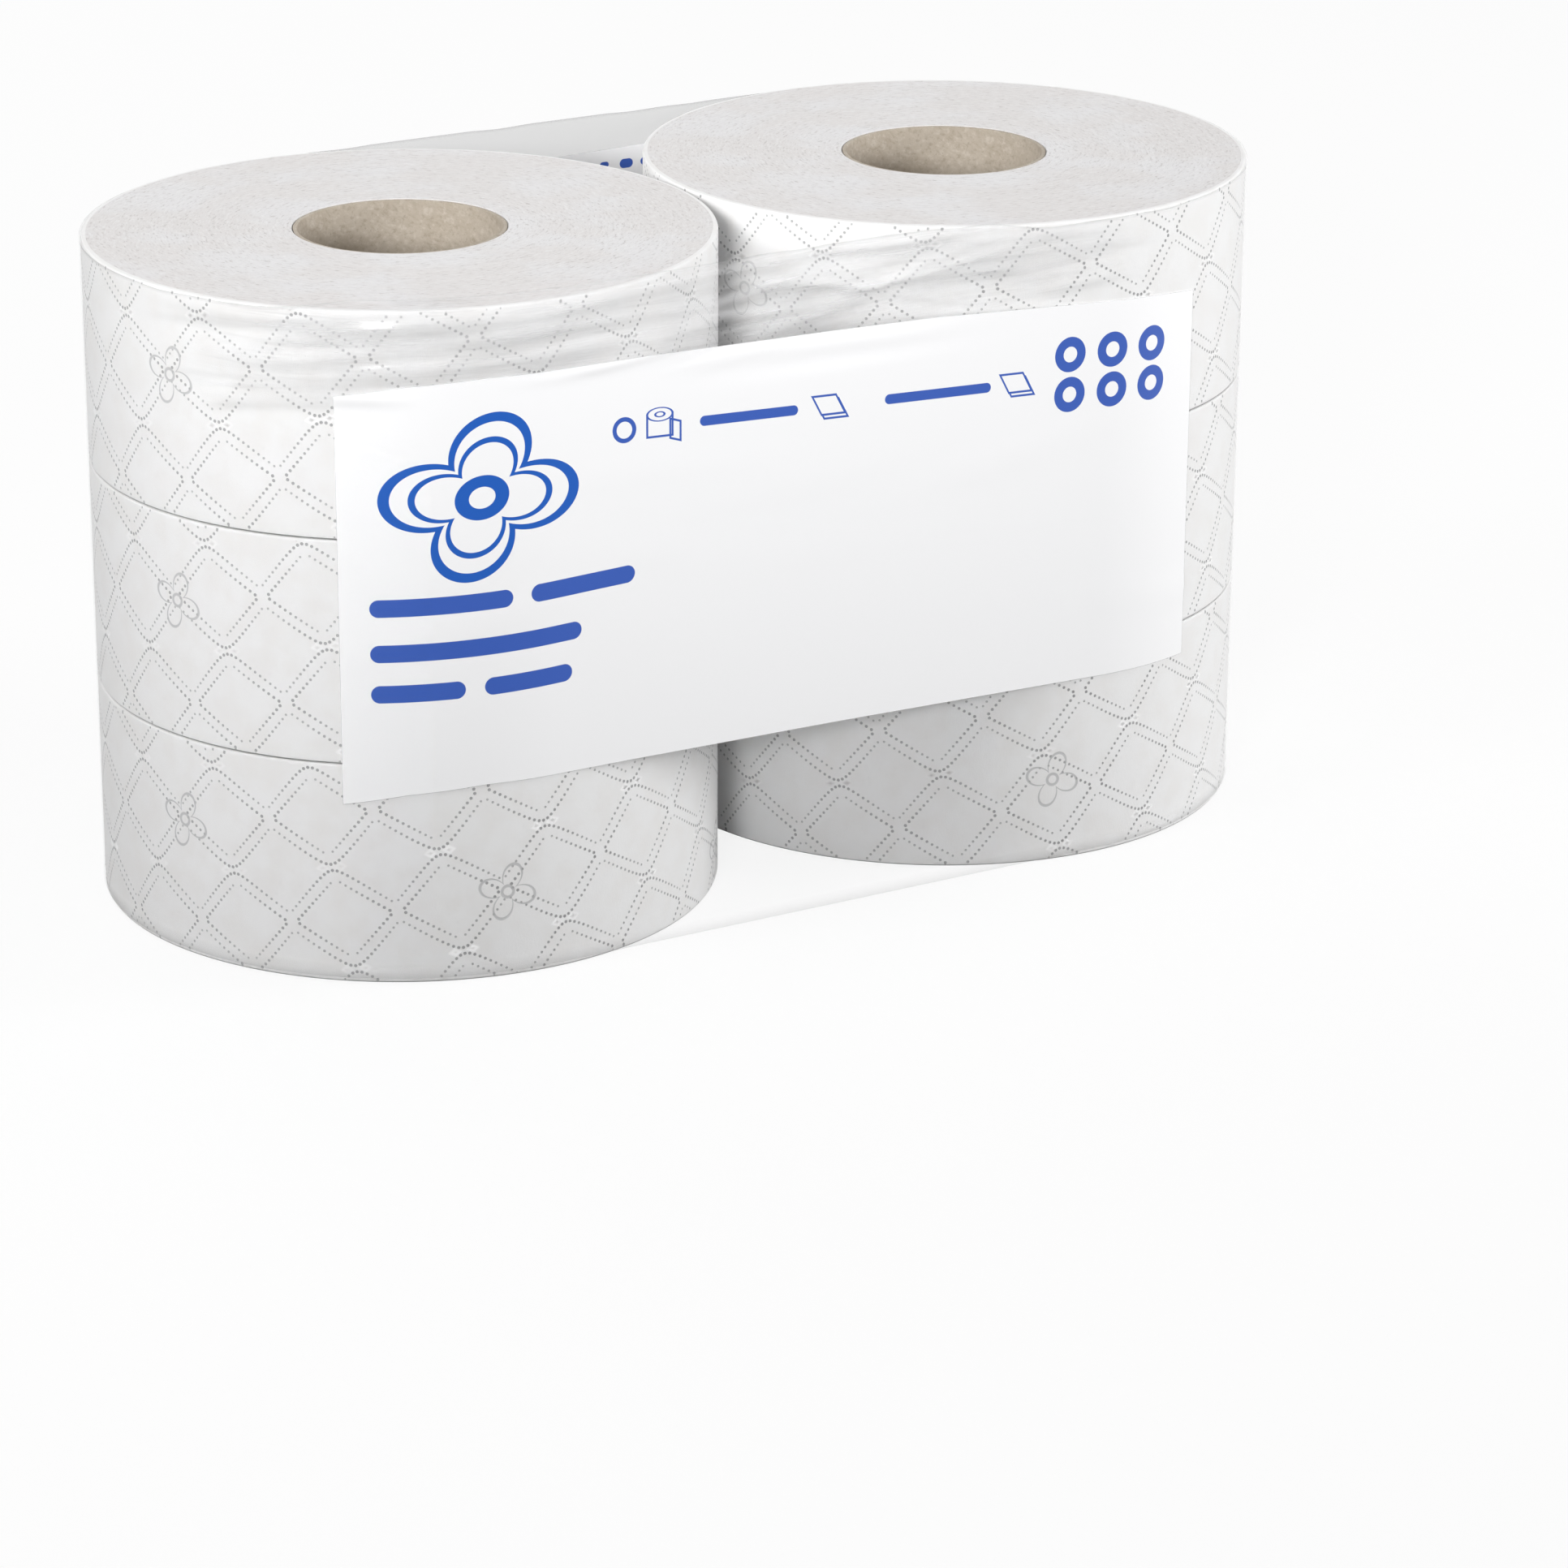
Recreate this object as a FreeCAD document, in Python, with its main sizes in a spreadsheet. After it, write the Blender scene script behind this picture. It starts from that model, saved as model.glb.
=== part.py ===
import FreeCAD
import Part
import Sketcher
import math
import os

os.makedirs("parts", exist_ok=True)
doc = FreeCAD.newDocument("toilet_roll_pack")

# Driving sizes of the pack, in millimetres, degrees and whole numbers
drivingSizes = {
    "rollDiameter": 235,
    "rollWidth": 84.5,
    "stackGap": 1,
    "coreBore": 76,
    "coreWall": 1.5,
    "coreClearance": 0.3,
    "coreRecess": 0.5,
    "tailStep": 0.4,
    "tailSweep": 32,
    "tailOverlap": 4,
    "filmThickness": 0.35,
    "filmClearance": 0.3,
    "filmFoot": 2,
    "filmHead": 0.7,
    "hemRise": 5,
    "hemLeftLow": 95,
    "hemLeftHigh": 62,
    "hemRightHigh": 60,
    "hemRightLow": 24,
    "gatherHalfWidth": 78,
    "gatherHeight": 44,
    "gatherDepth": 2.6,
    "gatherLean": 3,
    "gatherPleats": 4,
}

sheet = doc.addObject("Spreadsheet::Sheet", "Sizes")
for row, (alias, value) in enumerate(drivingSizes.items(), start=1):
    sheet.set(f"A{row}", alias)
    sheet.set(f"B{row}", str(value))
    sheet.setAlias(f"B{row}", alias)

# Sizes that follow from the driving ones
derivedSizes = {
    "stackSpacing": "=rollDiameter + stackGap",
    "turnsRadius": "=rollDiameter / 2 - tailStep",
    "tailShift": "=(rollDiameter ^ 2 / 4 - turnsRadius ^ 2) / (rollDiameter - 2 * turnsRadius * cos(tailSweep))",
    "coreRadius": "=coreBore / 2 + coreWall",
    "windingBore": "=coreBore / 2 + coreWall + coreClearance",
    "filmInside": "=turnsRadius + filmClearance",
    "filmOutside": "=turnsRadius + filmClearance + filmThickness",
    "filmEdge": "=3 * rollWidth - filmHead",
    "filmTop": "=3 * rollWidth - filmHead + hemRise",
}
for row, (alias, formula) in enumerate(derivedSizes.items(), start=len(drivingSizes) + 1):
    sheet.set(f"A{row}", alias)
    sheet.set(f"B{row}", formula)
    sheet.setAlias(f"B{row}", alias)
doc.recompute()


def size(alias):
    """Read one value of the sheet as a plain number."""
    value = sheet.get(alias)
    return float(getattr(value, "Value", value))


def bind(thing, **expressions):
    """Tie properties of an object to values of the sheet."""
    for name, expression in expressions.items():
        thing.setExpression(name.replace("_", "."), expression)


def originPlane(body, role):
    """Find one of the body's own reference planes."""
    return next(f for f in body.Origin.OriginFeatures if f.Role == role)


def addWinding(name, stackSide, level, tailTurn):
    """One wound roll of tissue: all its turns with the glued tail of the last one."""
    body = doc.addObject("PartDesign::Body", name)
    body.Label = name

    turns = body.newObject("PartDesign::AdditiveCylinder", name + "_turns")
    bind(turns, Radius="Sizes.turnsRadius", Height="Sizes.rollWidth")

    # The last turn stands out more and more towards its glued tail, then drops by its step
    lastTurn = body.newObject("PartDesign::AdditiveCylinder", name + "_last_turn")
    lastTurn.AttachmentSupport = [(originPlane(body, "XY_Plane"), "")]
    lastTurn.MapMode = "FlatFace"
    bind(
        lastTurn,
        Radius="Sizes.rollDiameter / 2 - Sizes.tailShift",
        Angle="Sizes.tailSweep + Sizes.tailOverlap",
        Height="Sizes.rollWidth",
        AttachmentOffset_Base_x="Sizes.tailShift",
        AttachmentOffset_Rotation_Angle="-Sizes.tailSweep - Sizes.tailOverlap",
    )

    bore = body.newObject("PartDesign::SubtractiveCylinder", name + "_bore")
    bind(bore, Radius="Sizes.windingBore", Height="Sizes.rollWidth")

    body.Placement = FreeCAD.Placement(
        FreeCAD.Vector(0, 0, 0), FreeCAD.Rotation(FreeCAD.Vector(0, 0, 1), tailTurn)
    )
    bind(
        body,
        Placement_Base_x=f"{stackSide} * Sizes.stackSpacing / 2",
        Placement_Base_z=f"{level} * Sizes.rollWidth",
    )
    return body


def addCore(name, stackSide, level):
    """One cardboard tube, a little shorter than the roll that is wound on it."""
    body = doc.addObject("PartDesign::Body", name)
    body.Label = name
    wall = body.newObject("PartDesign::AdditiveCylinder", name + "_wall")
    bind(wall, Radius="Sizes.coreRadius", Height="Sizes.rollWidth - 2 * Sizes.coreRecess")
    hollow = body.newObject("PartDesign::SubtractiveCylinder", name + "_hollow")
    bind(hollow, Radius="Sizes.coreBore / 2", Height="Sizes.rollWidth - 2 * Sizes.coreRecess")
    bind(
        body,
        Placement_Base_x=f"{stackSide} * Sizes.stackSpacing / 2",
        Placement_Base_z=f"{level} * Sizes.rollWidth + Sizes.coreRecess",
    )
    return body


def addSlot(sketch, radius, radiusExpression, label):
    """Draw a stadium round both stacks: two half circles joined by their tangents."""
    half = size("stackSpacing") / 2
    up = FreeCAD.Vector(0, 0, 1)
    quarter = math.pi / 2
    leftCircle = Part.Circle(FreeCAD.Vector(-half, 0, 0), up, radius)
    rightCircle = Part.Circle(FreeCAD.Vector(half, 0, 0), up, radius)
    left = sketch.addGeometry(Part.ArcOfCircle(leftCircle, quarter, 3 * quarter), False)
    right = sketch.addGeometry(Part.ArcOfCircle(rightCircle, -quarter, quarter), False)
    front = sketch.addGeometry(
        Part.LineSegment(FreeCAD.Vector(-half, -radius, 0), FreeCAD.Vector(half, -radius, 0)), False
    )
    back = sketch.addGeometry(
        Part.LineSegment(FreeCAD.Vector(half, radius, 0), FreeCAD.Vector(-half, radius, 0)), False
    )
    joints = [(left, 2, front, 1), (front, 2, right, 1), (right, 2, back, 1), (back, 2, left, 1)]
    for joint in joints:
        sketch.addConstraint(Sketcher.Constraint("Tangent", *joint))
    sketch.addConstraint(Sketcher.Constraint("Equal", left, right))
    sketch.addConstraint(Sketcher.Constraint("PointOnObject", left, 3, -1))
    sketch.addConstraint(Sketcher.Constraint("Symmetric", left, 3, right, 3, -1, 1))
    spacing = sketch.addConstraint(
        Sketcher.Constraint("DistanceX", left, 3, right, 3, size("stackSpacing"))
    )
    sketch.renameConstraint(spacing, label + "Spacing")
    sketch.setExpression(f"Constraints.{label}Spacing", "Sizes.stackSpacing")
    curve = sketch.addConstraint(Sketcher.Constraint("Radius", left, radius))
    sketch.renameConstraint(curve, label + "Radius")
    sketch.setExpression(f"Constraints.{label}Radius", radiusExpression)


def smoothStep(low, high, x):
    """Ease from 0 at low to 1 at high."""
    share = min(max((x - low) / (high - low), 0), 1)
    return share * share * (3 - 2 * share)


def hemHeight(x):
    """Height of the film's front edge: it stands up where the film spans the valley."""
    half = size("stackSpacing") / 2
    rising = smoothStep(-half - size("hemLeftLow"), -half - size("hemLeftHigh"), x)
    falling = smoothStep(half - size("hemRightHigh"), half - size("hemRightLow"), x)
    return size("filmEdge") + size("hemRise") * rising * (1 - falling)


def addHemTrim():
    """The solid that trims the front edge of the film to its rising and falling line."""
    reach = size("stackSpacing") / 2 + size("filmOutside") + 10
    stations = 24
    points = []
    for step in range(stations + 1):
        x = -reach + 2 * reach * step / stations
        points.append(FreeCAD.Vector(x, 0, hemHeight(x)))
    hem = Part.BSplineCurve()
    hem.interpolate(points)
    ceiling = size("filmTop") + 10
    corners = [
        points[-1],
        FreeCAD.Vector(reach, 0, ceiling),
        FreeCAD.Vector(-reach, 0, ceiling),
        points[0],
    ]
    edges = [hem.toShape()]
    for start, end in zip(corners, corners[1:]):
        edges.append(Part.LineSegment(start, end).toShape())
    trim = doc.addObject("Part::Feature", "hem_trim")
    trim.Shape = Part.Face(Part.Wire(edges)).extrude(FreeCAD.Vector(0, -reach, 0))
    return trim


def addGathers():
    """The film's upper front span, drawn into pleats that fade towards both stacks."""
    halfWidth = size("gatherHalfWidth")
    outside = -size("filmOutside")
    thickness = size("filmThickness")
    foot = size("filmEdge") - size("gatherHeight")
    rows = 2 * int(size("gatherPleats")) + 1
    stations = 8
    sections = []
    for station in range(stations + 1):
        x = -halfWidth + 2 * halfWidth * station / stations
        fade = math.cos(math.pi / 2 * x / halfWidth) ** 2
        head = hemHeight(x)
        outerSide = []
        for row in range(rows + 1):
            share = row / rows
            pleat = size("gatherDepth") * (row % 2) * share
            lean = size("gatherLean") * share * share
            y = outside + fade * (pleat + lean)
            outerSide.append(FreeCAD.Vector(x, y, foot + (head - foot) * share))
        innerSide = [p + FreeCAD.Vector(0, thickness, 0) for p in reversed(outerSide)]
        loop = outerSide + innerSide
        sections.append(Part.makePolygon(loop + loop[:1]))
    gathers = doc.addObject("Part::Feature", "film_gathers")
    gathers.Shape = Part.makeLoft(sections, True, True)
    return gathers


def addFilm():
    """The clear film sleeve, open at both ends, with its gathered front span."""
    outline = doc.addObject("Sketcher::SketchObject", "sleeve_outline")
    addSlot(outline, size("filmOutside"), "Sizes.filmOutside", "outer")
    addSlot(outline, size("filmInside"), "Sizes.filmInside", "inner")
    bind(outline, Placement_Base_z="Sizes.filmFoot")

    sleeve = doc.addObject("Part::Extrusion", "sleeve")
    sleeve.Base = outline
    sleeve.DirMode = "Custom"
    sleeve.Dir = FreeCAD.Vector(0, 0, 1)
    sleeve.Solid = True
    sleeve.FaceMakerClass = "Part::FaceMakerBullseye"
    bind(sleeve, LengthFwd="Sizes.filmTop - Sizes.filmFoot")

    backTrim = doc.addObject("Part::Box", "back_trim")
    bind(
        backTrim,
        Length="2 * (Sizes.stackSpacing + Sizes.filmOutside)",
        Width="Sizes.filmOutside + 10",
        Height="Sizes.hemRise + 10",
        Placement_Base_x="-(Sizes.stackSpacing + Sizes.filmOutside)",
        Placement_Base_z="Sizes.filmEdge",
    )

    window = doc.addObject("Part::Box", "gather_window")
    bind(
        window,
        Length="2 * Sizes.gatherHalfWidth",
        Width="2 * Sizes.filmThickness",
        Height="Sizes.gatherHeight + Sizes.hemRise + 10",
        Placement_Base_x="-Sizes.gatherHalfWidth",
        Placement_Base_y="-Sizes.filmOutside - Sizes.filmThickness / 2",
        Placement_Base_z="Sizes.filmEdge - Sizes.gatherHeight",
    )

    cutters = doc.addObject("Part::MultiFuse", "film_cutters")
    cutters.Shapes = [backTrim, addHemTrim(), window]
    trimmed = doc.addObject("Part::Cut", "trimmed_sleeve")
    trimmed.Base = sleeve
    trimmed.Tool = cutters

    film = doc.addObject("Part::Fuse", "film_wrap")
    film.Label = "film_wrap"
    film.Base = trimmed
    film.Tool = addGathers()
    return film


# Two stacks of three rolls with the film round them. Each roll's tail lies another way, but
# always on the side that faces the other stack, where the film doesn't touch the roll
pieces = []
stacks = {"left": (-1, (35, 66, 52)), "right": (1, (128, 150, 121))}
for stackName, (stackSide, tailTurns) in stacks.items():
    for level, levelName in enumerate(("bottom", "middle", "top")):
        spot = f"{stackName}_{levelName}"
        pieces.append(addWinding(f"winding_{spot}", stackSide, level, tailTurns[level]))
        pieces.append(addCore(f"core_{spot}", stackSide, level))
pieces.append(addFilm())
doc.recompute()

faults = [o.Name for o in doc.Objects if {"Invalid", "Error"} & set(o.State)]
if faults:
    raise RuntimeError(f"these objects did not build: {faults}")
for piece in pieces:
    shape = piece.Shape
    if shape.isNull() or not shape.isValid() or len(shape.Solids) != 1:
        raise RuntimeError(f"{piece.Label} is not one valid solid")
for piece in pieces:
    shape = piece.Shape
    shape.exportStep(f"parts/{piece.Label}.step")
    box = shape.BoundBox
    print(
        f"{piece.Label}: {shape.Volume / 1000:.2f} cm3,",
        f"x {box.XMin:.2f} to {box.XMax:.2f}, y {box.YMin:.2f} to {box.YMax:.2f},",
        f"z {box.ZMin:.2f} to {box.ZMax:.2f}",
    )
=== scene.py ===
import math
import random

import bmesh
import bpy
import numpy as np
from mathutils import Matrix, Vector, geometry


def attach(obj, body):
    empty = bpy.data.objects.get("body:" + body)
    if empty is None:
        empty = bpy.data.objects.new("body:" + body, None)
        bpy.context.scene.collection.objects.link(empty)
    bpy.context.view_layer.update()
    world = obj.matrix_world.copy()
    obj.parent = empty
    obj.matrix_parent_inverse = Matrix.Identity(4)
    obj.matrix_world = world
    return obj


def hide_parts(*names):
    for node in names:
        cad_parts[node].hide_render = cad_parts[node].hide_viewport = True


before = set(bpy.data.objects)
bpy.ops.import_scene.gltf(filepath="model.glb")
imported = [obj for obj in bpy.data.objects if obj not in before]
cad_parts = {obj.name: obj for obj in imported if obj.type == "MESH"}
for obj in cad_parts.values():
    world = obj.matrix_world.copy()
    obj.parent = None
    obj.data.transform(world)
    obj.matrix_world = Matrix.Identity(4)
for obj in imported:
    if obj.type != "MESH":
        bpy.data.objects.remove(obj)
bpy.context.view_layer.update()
print("frame loaded")

mm = 0.001


# a socket that can be used in a sum
class Wire:
    def __init__(self, finish, socket):
        self.finish = finish
        self.socket = socket

    def math(self, operation, *others):
        return self.finish.calc(operation, self, *others)

    def __add__(self, other):
        return self.math("ADD", other)

    __radd__ = __add__

    def __mul__(self, other):
        return self.math("MULTIPLY", other)

    __rmul__ = __mul__

    def __sub__(self, other):
        return self.math("SUBTRACT", other)

    def __rsub__(self, other):
        return self.finish.calc("SUBTRACT", other, self)

    def __truediv__(self, other):
        return self.math("DIVIDE", other)

    def __pow__(self, other):
        return self.math("POWER", other)

    def __abs__(self):
        return self.math("ABSOLUTE")

    def __gt__(self, other):
        return self.math("GREATER_THAN", other)

    def __lt__(self, other):
        return self.math("LESS_THAN", other)


# a material or a world with its nodes
class Finish:
    def __init__(self, owner):
        self.owner = owner
        owner.use_nodes = True
        self.tree = owner.node_tree
        self.tree.nodes.clear()

    def plug(self, socket, value):
        if isinstance(value, Wire):
            self.tree.links.new(value.socket, socket)
        elif socket.type == "RGBA" and len(value) == 3:
            socket.default_value = (*value, 1)
        else:
            socket.default_value = value

    def node(self, kind, settings=None, inputs=None, output=0):
        node = self.tree.nodes.new("ShaderNode" + kind)
        for key, value in (settings or {}).items():
            if key == "stops":
                ramp = node.color_ramp.elements
                while len(ramp) < len(value):
                    ramp.new(0.5)
                for element, (position, grey) in zip(ramp, value):
                    element.position = position
                    element.color = (grey, grey, grey, 1)
            else:
                setattr(node, key, value)
        for key, value in (inputs or {}).items():
            self.plug(node.inputs[key], value)
        return Wire(self, node.outputs[output])

    def calc(self, operation, *values):
        return self.node("Math", {"operation": operation}, dict(enumerate(values)))

    def mixColour(self, factor, first, second):
        return self.node("Mix", {"data_type": "RGBA"}, {0: factor, 6: first, 7: second}, 2)

    def value(self, name):
        return self.node("Attribute", {"attribute_name": name}, None, 2)

    def place(self, name):
        return self.node("Attribute", {"attribute_name": name}, None, 1)

    def vector(self, x, y, z):
        return self.node("CombineXYZ", None, {0: x, 1: y, 2: z})

    def split(self, vector):
        return [self.node("SeparateXYZ", None, {0: vector}, part) for part in range(3)]

    def noise(self, place, scale, detail=2.0, roughness=0.5, distortion=0.0):
        inputs = {"Vector": place, "Scale": scale, "Detail": detail}
        inputs.update({"Roughness": roughness, "Distortion": distortion})
        return self.node("TexNoise", None, inputs)

    def ramp(self, value, low, high):
        inputs = {"Value": value, "From Min": low, "From Max": high}
        return self.node("MapRange", {"interpolation_type": "SMOOTHSTEP"}, inputs)

    def smaller(self, *values):
        lowest = values[0]
        for value in values[1:]:
            lowest = self.calc("MINIMUM", lowest, value)
        return lowest

    def larger(self, *values):
        highest = values[0]
        for value in values[1:]:
            highest = self.calc("MAXIMUM", highest, value)
        return highest

    def seenPlainly(self):
        # 1 for what the camera sees, straight or in a reflection or through the film
        kinds = ("Is Camera Ray", "Is Glossy Ray", "Is Transmission Ray")
        return self.larger(*[self.node("LightPath", None, None, kind) for kind in kinds])

    def relief(self, height, strength, distance):
        return self.node("Bump", None, {"Strength": strength, "Distance": distance, "Height": height})

    def close(self, surface, kind="Material"):
        output = self.tree.nodes.new("ShaderNodeOutput" + kind)
        self.plug(output.inputs["Surface"], surface)
        return self.owner


def newFinish(name):
    return Finish(bpy.data.materials.new(name))


def toLinear(red, green, blue):
    shades = []
    for value in (red, green, blue):
        share = value / 255
        shades.append(share / 12.92 if share <= 0.04045 else ((share + 0.055) / 1.055) ** 2.4)
    return tuple(shades)


def deselectAll():
    if bpy.context.object and bpy.context.object.mode != "OBJECT":
        bpy.ops.object.mode_set(mode="OBJECT")
    bpy.ops.object.select_all(action="DESELECT")


def makeActive(thing):
    deselectAll()
    thing.select_set(True)
    bpy.context.view_layer.objects.active = thing


def addMesh(name, vertices, faces):
    mesh = bpy.data.meshes.new(name)
    mesh.from_pydata([tuple(v) for v in vertices], [], faces)
    mesh.update()
    thing = bpy.data.objects.new(name, mesh)
    bpy.context.scene.collection.objects.link(thing)
    return thing


def smoothShare(low, high, values):
    share = np.clip((values - low) / (high - low), 0, 1)
    return share * share * (3 - 2 * share)


def readPoints(mesh):
    places = np.zeros(len(mesh.vertices) * 3)
    mesh.vertices.foreach_get("co", places)
    return places.reshape(-1, 3)


def writePoints(mesh, places):
    mesh.vertices.foreach_set("co", np.ascontiguousarray(places, dtype=np.float32).ravel())
    mesh.update()


def addPointValues(mesh, name, values):
    layer = mesh.attributes.new(name, "FLOAT", "POINT")
    layer.data.foreach_set("value", np.ascontiguousarray(values, dtype=np.float32))


def addPointVectors(mesh, name, values):
    layer = mesh.attributes.new(name, "FLOAT_VECTOR", "POINT")
    layer.data.foreach_set("vector", np.ascontiguousarray(values, dtype=np.float32).ravel())


# one wound roll: embossed outer turn, cut end faces with their layers, bore
roll = {
    "wallRadius": 117.1,        # outside of the last turn
    "width": 84.5,
    "bore": 39.8,
    "stackSpacing": 236.0,
    "rimRounding": 1.3,
    "cellHigh": (-8.3, 39.1),   # from one embossed cell to the one above it
    "firstCell": (-87.8, 64.0), # centre of one cell, round the wall and up it
    "cellsRound": 18,
    "rowsDropped": 3,           # the lattice closes this many cells lower after a full round
    "cellRows": (-8, 8),
    "endDots": 10,              # dots on each slanted end line of a cell
    "endStart": (0.432, 0.022),
    "endStep": (0.0430, 0.0364),
    "archDots": 12,             # dots on half of the arched line above and below
    "archStep": 0.0427,
    "archTop": 0.470,
    "archDrop": 0.917,
    "archBend": 0.085,
    "dotRadius": 0.68,
    "dotDepth": 0.34,
    "dotFloor": 0.62,           # share of the dot's radius that is flat
    "dotCorners": 6,
    "cellSegments": 12,
    "gridSteps": 11,
    "gridClear": 1.9,           # plain points keep this far from the dots
    "rimSteps": ((0.14, 0.72), (0.48, 0.26), (1.15, 0.03)),     # inset and drop
    "ringSteps": 168,
    "endRings": 34,
    "endInset": (2.6, 0.35),    # first and last ring, from the wall and from the bore
    "layerDepth": (0.02, 0.20),
    "layerWave": 0.05,
    "boreLevels": (0.5, 20.0, 42.0, 64.0, 84.0),
    "tailStep": 0.4,
    "tailSweep": 32,
    "tailCut": 0.0011,          # half the width of the cut at the tail, as a turn
    "tails": {"left": (35, 66, 52), "right": (128, 150, 121)},
    "rightTurn": 29.2,          # the right stack shows the pattern turned by this
}
rollLayout = {
    "wall": (0.003, 0.226, 0.235),      # foot and height of a strip, and the step to the next one
    "bore": (0.475, 0.02),
    "endHalf": 0.2475,
    "margin": 0.001,
}
high = np.array(roll["cellHigh"])
wallRound = 2 * math.pi * roll["wallRadius"]
across = (np.array([wallRound, 0]) + roll["rowsDropped"] * high) / roll["cellsRound"]


def embossDots():
    # the dots of one cell: two pointed ends and an arched line above and below, with their strength
    dots = []
    lastEnd, lastArch = roll["endDots"] - 1, roll["archDots"] - 1
    for side in (-1, 1):
        for updown in (-1, 1):
            for step in range(roll["endDots"]):
                s = side * (roll["endStart"][0] - step * roll["endStep"][0])
                t = updown * (roll["endStart"][1] + step * roll["endStep"][1])
                dots.append((s, t, 1.0 - 0.5 * step / lastEnd))
        for step in range(roll["archDots"]):
            for hand in (-1, 1):
                if step == 0 and hand == 1:
                    continue
                s = hand * step * roll["archStep"]
                bend = math.hypot(s, roll["archBend"]) - roll["archBend"]
                t = side * (roll["archTop"] - roll["archDrop"] * bend)
                dots.append((s, t, 1.0 - 0.5 * step / lastArch))
    return dots


def embossTile():
    # one cell laid flat, each dot a small dimple with a rim and a flat floor
    points, depths = [], []
    sides = [(-0.5, -0.5), (0.5, -0.5), (0.5, 0.5), (-0.5, 0.5)]
    for (s0, t0), (s1, t1) in zip(sides, sides[1:] + sides[:1]):
        for step in range(roll["cellSegments"]):
            share = step / roll["cellSegments"]
            points.append((s0 + (s1 - s0) * share) * across + (t0 + (t1 - t0) * share) * high)
            depths.append(0.0)
    edges = [(i, (i + 1) % len(points)) for i in range(len(points))]
    dots = embossDots()
    centres = np.array([s * across + t * high for s, t, strength in dots])
    for centre, (s, t, strength) in zip(centres, dots):
        radius = roll["dotRadius"] * (0.5 + 0.5 * strength)
        for ringRadius, depth in ((radius, 0.0), (radius * roll["dotFloor"], 0.5 + 0.5 * strength)):
            for corner in range(roll["dotCorners"]):
                angle = math.radians(360 / roll["dotCorners"] * corner + 15)
                points.append(centre + ringRadius * np.array([math.cos(angle), math.sin(angle)]))
                depths.append(depth)
    grid = np.linspace(-0.5, 0.5, roll["gridSteps"])[1:-1]
    for s in grid:
        for t in grid:
            spot = s * across + t * high
            if np.min(np.hypot(*(centres - spot).T)) > roll["gridClear"]:
                points.append(spot)
                depths.append(0.0)
    flat = [Vector(p) for p in points]
    result = geometry.delaunay_2d_cdt(flat, edges, [], 1, 1e-5, True)
    vertices, faces, sources = result[0], result[2], result[3]
    tilePoints = np.array([tuple(v) for v in vertices])
    tileDepths = np.array([max((depths[i] for i in source), default=0.0) for source in sources])
    return tilePoints, tileDepths, np.array(faces)


def turnOf(vertex):
    return math.atan2(vertex.co.y, vertex.co.x)


def addRing(mesh, spots):
    # one ring of vertices, each from its distance to the axis, its turn and its height
    return [mesh.verts.new((reach * math.cos(turn), reach * math.sin(turn), z)) for reach, turn, z in spots]


def joinRings(mesh, first, second):
    for k in range(len(first)):
        n = (k + 1) % len(first)
        mesh.faces.new((first[k], first[n], second[n], second[k]))


def zipLoops(mesh, outer, inner):
    # closes the ring between two loops of vertices that run the same way round
    outer = sorted(outer, key=turnOf)
    inner = sorted(inner, key=turnOf)
    i = j = 0
    while i < len(outer) or j < len(inner):
        a, b = outer[i % len(outer)], inner[j % len(inner)]
        nextA, nextB = outer[(i + 1) % len(outer)], inner[(j + 1) % len(inner)]
        turnA = turnOf(nextA) + (2 * math.pi if i + 1 >= len(outer) else 0)
        turnB = turnOf(nextB) + (2 * math.pi if j + 1 >= len(inner) else 0)
        if j >= len(inner) or (i < len(outer) and turnA <= turnB):
            mesh.faces.new((a, nextA, b))
            i += 1
        else:
            mesh.faces.new((a, nextB, b))
            j += 1


def wrapTiles():
    # the embossed cells laid round the wall, with how deep each vertex is pressed
    wall = roll["wallRadius"]
    tilePoints, tileDepths, tileFaces = embossTile()
    first = np.array(roll["firstCell"])
    places, depths, faces = [], [], []
    for i in range(roll["cellsRound"]):
        for j in range(*roll["cellRows"]):
            shifted = tilePoints + first + i * across + j * high
            if shifted[:, 1].max() < 0 or shifted[:, 1].min() > roll["width"]:
                continue
            faces.append(tileFaces + sum(len(p) for p in places))
            places.append(shifted)
            depths.append(tileDepths)
    places, depths, faces = np.concatenate(places), np.concatenate(depths), np.concatenate(faces)
    turn = places[:, 0] / wall - math.pi / 2
    radius = wall - depths * roll["dotDepth"]
    wrapped = np.stack([radius * np.cos(turn), radius * np.sin(turn), places[:, 1]], -1)
    return wrapped, depths, faces


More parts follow.
